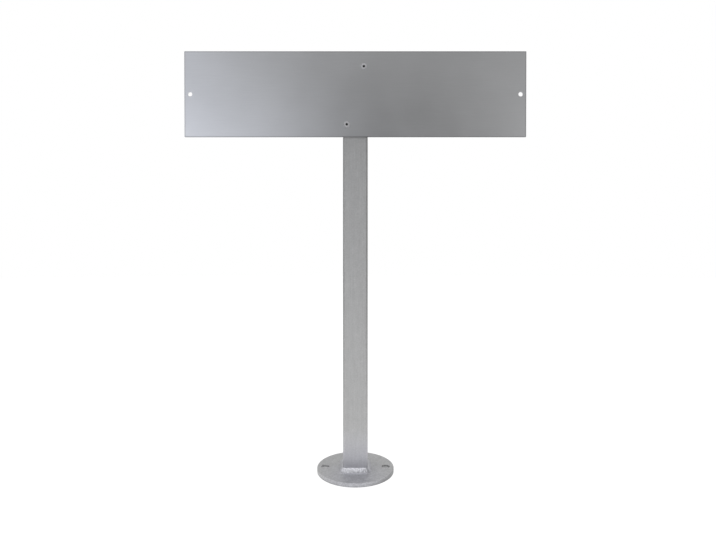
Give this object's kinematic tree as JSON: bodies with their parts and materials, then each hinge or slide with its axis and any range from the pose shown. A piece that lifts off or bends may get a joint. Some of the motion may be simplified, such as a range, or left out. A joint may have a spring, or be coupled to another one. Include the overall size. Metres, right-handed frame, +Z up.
{
  "type": "parking sign stand",
  "caption": "Free-standing sign carrier: square steel post welded to a round foot plate, flat aluminium panel riveted to its front.",
  "frame": {"origin": "centre of the foot plate's underside, on the ground", "axes": "+Z up along the post, +X to the right along the panel's width, and the panel faces -Y"},
  "size_m": [0.52, 0.12, 0.648],
  "materials": {
    "plate_steel": "silver-grey zinc coat, satin",
    "post_steel": "silver-grey zinc coat, satin",
    "weld_steel": "coated weld bead, smoother satin",
    "cap_plastic": "moulded, matt",
    "panel_aluminium": "anodised, satin",
    "rivet_aluminium": "plain, satin",
    "mandrel_steel": "zinc-plated wire, dull broken end"
  },
  "bodies": {
    "root": {"base_plate": "plate_steel", "post_tube": "post_steel", "foot_weld": "weld_steel", "post_cap": "cap_plastic", "sign_panel": "panel_aluminium", "upper_rivet_body": "rivet_aluminium", "lower_rivet_body": "rivet_aluminium", "upper_rivet_mandrel": "mandrel_steel", "lower_rivet_mandrel": "mandrel_steel"}
  },
  "joints": []
}
